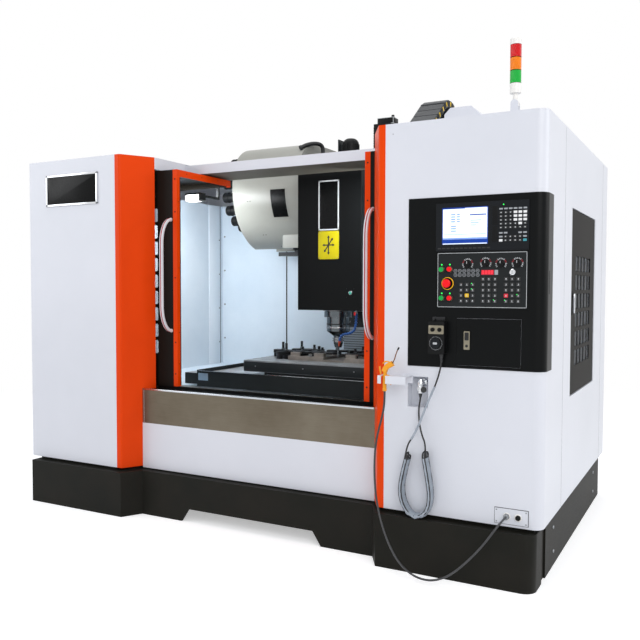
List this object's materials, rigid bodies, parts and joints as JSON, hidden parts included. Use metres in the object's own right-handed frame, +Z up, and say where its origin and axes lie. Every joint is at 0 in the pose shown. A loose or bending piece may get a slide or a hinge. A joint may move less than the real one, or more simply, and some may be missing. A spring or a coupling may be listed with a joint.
{
  "type": "cnc machining center",
  "caption": "Enclosed vertical machining centre with sliding doors, slotted table, spindle head, side tool magazine and a wrapped control panel with a hand unit.",
  "frame": {"origin": "middle of the footprint, on the floor", "axes": "+X to the operator's right, +Y from the front to the back, +Z up"},
  "size_m": [3.233, 2.0336, 2.63],
  "materials": {
    "white_paint": "semi-gloss powder coat",
    "orange_paint": "gloss powder coat",
    "dark_base_paint": "textured powder coat",
    "black_paint": "satin powder coat",
    "stainless": "brushed",
    "machined_iron": "ground",
    "cast_paint": "painted casting",
    "ground_steel": "ground and polished",
    "saddle_paint": "textured paint",
    "window_glass": "laminated, lightly tinted",
    "black_plastic": "moulded",
    "grey_plastic": "moulded",
    "display_plastic": "moulded, satin",
    "red_plastic": "moulded, gloss",
    "green_plastic": "moulded, gloss",
    "handle_paint": "polished",
    "cord_rubber": "matt",
    "hose_rubber": "matt",
    "blue_plastic": "moulded",
    "amber_plastic": "moulded",
    "plug_metal": "plated",
    "lens_plastic": "translucent lens modules"
  },
  "bodies": {
    "frame": {"base_skirt": "dark_base_paint", "bed": "cast_paint", "column": "cast_paint", "left_cabinet": "white_paint", "right_cabinet": "white_paint", "left_trim": "orange_paint", "right_trim": "orange_paint", "front_apron": "white_paint", "sill_band": "stainless", "roof_panel": "white_paint", "work_area_liner": "white_paint", "column_way_cover": "stainless", "magazine_cover": "white_paint", "work_lamp": "white_paint", "cable_chain": "black_plastic", "control_panel": "black_paint", "display_unit": "display_plastic", "hand_unit": "black_plastic", "hook_bracket": "stainless", "cord_plug": "plug_metal", "hand_cord": "cord_rubber", "cord_hank": "cord_rubber", "air_hose": "hose_rubber", "air_gun": "amber_plastic"},
    "left_sliding_door": {"left_door": "black_paint", "left_door_edge": "orange_paint", "left_door_glass": "window_glass", "left_door_handle": "handle_paint"},
    "right_sliding_door": {"right_door": "black_paint", "right_door_edge": "orange_paint", "right_door_glass": "window_glass", "right_door_handle": "handle_paint"},
    "saddle_body": {"saddle": "saddle_paint"},
    "table_body": {"table": "machined_iron", "fixture": "black_paint"},
    "spindle_head": {"head_cover": "black_paint", "spindle_motor": "black_paint", "coolant_nozzle": "blue_plastic"},
    "spindle_body": {"spindle": "ground_steel"},
    "tool_drum": {"tool_magazine": "black_plastic"},
    "tool_arm": {"changer_arm": "black_paint"},
    "signal_tower": {"tower_light": "lens_plastic"},
    "side_access_door": {"side_door": "black_paint", "side_door_glass": "window_glass"},
    "side_lock_lever": {"side_door_lock": "plug_metal"},
    "panel_hatch": {"panel_door": "black_paint"},
    "stop_button": {"emergency_stop": "red_plastic"},
    "dial": {"pulse_dial": "black_plastic"},
    "axis_knob": {"axis_selector": "grey_plastic"},
    "step_knob": {"step_selector": "grey_plastic"},
    "mode_key": {"key_switch": "plug_metal"},
    "trigger": {"gun_trigger": "red_plastic"},
    "power_on": {"power_on_button": "green_plastic"},
    "power_off": {"power_off_button": "red_plastic"},
    "cycle_start": {"cycle_start_button": "green_plastic"},
    "feed_hold": {"feed_hold_button": "red_plastic"},
    "override_1": {"override_knob_1": "black_plastic"},
    "override_2": {"override_knob_2": "black_plastic"},
    "override_3": {"override_knob_3": "black_plastic"},
    "override_4": {"override_knob_4": "black_plastic"}
  },
  "joints": [
    {"name": "left_door_slide", "type": "slide", "parent": "frame", "child": "left_sliding_door", "axis": [1, 0, 0], "range_m": [-0.095, 0.566]},
    {"name": "right_door_slide", "type": "slide", "parent": "frame", "child": "right_sliding_door", "axis": [-1, 0, 0], "range_m": [0, 0.668]},
    {"name": "saddle_travel", "type": "slide", "parent": "frame", "child": "saddle_body", "axis": [0, 1, 0], "range_m": [-0.3, 0.2]},
    {"name": "table_travel", "type": "slide", "parent": "saddle_body", "child": "table_body", "axis": [1, 0, 0], "range_m": [-0.5, 0.5]},
    {"name": "head_travel", "type": "slide", "parent": "frame", "child": "spindle_head", "axis": [0, 0, 1], "range_m": [-0.015, 0.5]},
    {"name": "spindle_spin", "type": "hinge", "parent": "spindle_head", "child": "spindle_body", "pos_m": [0.0945, 0.0985, 1.219], "axis": [0, 0, 1], "continuous": true},
    {"name": "magazine_index", "type": "hinge", "parent": "frame", "child": "tool_drum", "pos_m": [-0.7515, 0.4175, 2.049], "axis": [1, 0, 0], "continuous": true},
    {"name": "arm_swing", "type": "hinge", "parent": "frame", "child": "tool_arm", "pos_m": [-0.3365, 0.3415, 1.64], "axis": [0, 0, 1], "range_deg": [0, 180]},
    {"name": "tower_fold", "type": "hinge", "parent": "frame", "child": "signal_tower", "pos_m": [1.4485, -0.8085, 2.195], "axis": [0, -1, 0], "range_deg": [0, 90]},
    {"name": "side_door_swing", "type": "hinge", "parent": "frame", "child": "side_access_door", "pos_m": [1.6115, 0.5035, 1.288], "axis": [0, 0, 1], "range_deg": [0, 120]},
    {"name": "side_lock_turn", "type": "hinge", "parent": "side_access_door", "child": "side_lock_lever", "pos_m": [1.6105, -0.2085, 1.3225], "axis": [1, 0, 0], "range_deg": [0, 90]},
    {"name": "panel_hatch_swing", "type": "hinge", "parent": "frame", "child": "panel_hatch", "pos_m": [1.5075, -0.8945, 1.112], "axis": [0, 0, 1], "range_deg": [0, 110]},
    {"name": "override_knob_1_turn", "type": "hinge", "parent": "frame", "child": "override_1", "pos_m": [1.2605, -0.8915, 1.471], "axis": [0, -1, 0], "range_deg": [-135, 135]},
    {"name": "override_knob_2_turn", "type": "hinge", "parent": "frame", "child": "override_2", "pos_m": [1.3445, -0.8915, 1.474], "axis": [0, -1, 0], "range_deg": [-135, 135]},
    {"name": "override_knob_3_turn", "type": "hinge", "parent": "frame", "child": "override_3", "pos_m": [1.4145, -0.8915, 1.471], "axis": [0, -1, 0], "range_deg": [-135, 135]},
    {"name": "override_knob_4_turn", "type": "hinge", "parent": "frame", "child": "override_4", "pos_m": [1.4885, -0.8915, 1.472], "axis": [0, -1, 0], "range_deg": [-135, 135]},
    {"name": "emergency_stop_press", "type": "slide", "parent": "frame", "child": "stop_button", "axis": [0, 1, 0], "range_m": [0, 0.004], "stiffness_N_per_m": 2000},
    {"name": "power_on_press", "type": "slide", "parent": "frame", "child": "power_on", "axis": [0, 1, 0], "range_m": [0, 0.003], "stiffness_N_per_m": 800},
    {"name": "power_off_press", "type": "slide", "parent": "frame", "child": "power_off", "axis": [0, 1, 0], "range_m": [0, 0.003], "stiffness_N_per_m": 800},
    {"name": "cycle_start_press", "type": "slide", "parent": "frame", "child": "cycle_start", "axis": [0, 1, 0], "range_m": [0, 0.003], "stiffness_N_per_m": 800},
    {"name": "feed_hold_press", "type": "slide", "parent": "frame", "child": "feed_hold", "axis": [0, 1, 0], "range_m": [0, 0.003], "stiffness_N_per_m": 800},
    {"name": "pulse_dial_turn", "type": "hinge", "parent": "frame", "child": "dial", "pos_m": [1.1255, -0.9335, 1.104], "axis": [0, -1, 0], "continuous": true},
    {"name": "axis_selector_turn", "type": "hinge", "parent": "frame", "child": "axis_knob", "pos_m": [1.1085, -0.9335, 1.167], "axis": [0, -1, 0], "range_deg": [-60, 60]},
    {"name": "step_selector_turn", "type": "hinge", "parent": "frame", "child": "step_knob", "pos_m": [1.1425, -0.9335, 1.167], "axis": [0, -1, 0], "range_deg": [-60, 60]},
    {"name": "key_turn", "type": "hinge", "parent": "frame", "child": "mode_key", "pos_m": [1.4665, -0.8915, 1.433], "axis": [0, -1, 0], "range_deg": [0, 60]},
    {"name": "trigger_pull", "type": "hinge", "parent": "frame", "child": "trigger", "pos_m": [0.8565, -0.9665, 0.9874], "axis": [0, -1, 0], "range_deg": [0, 7], "stiffness_Nm_per_rad": 2}
  ]
}
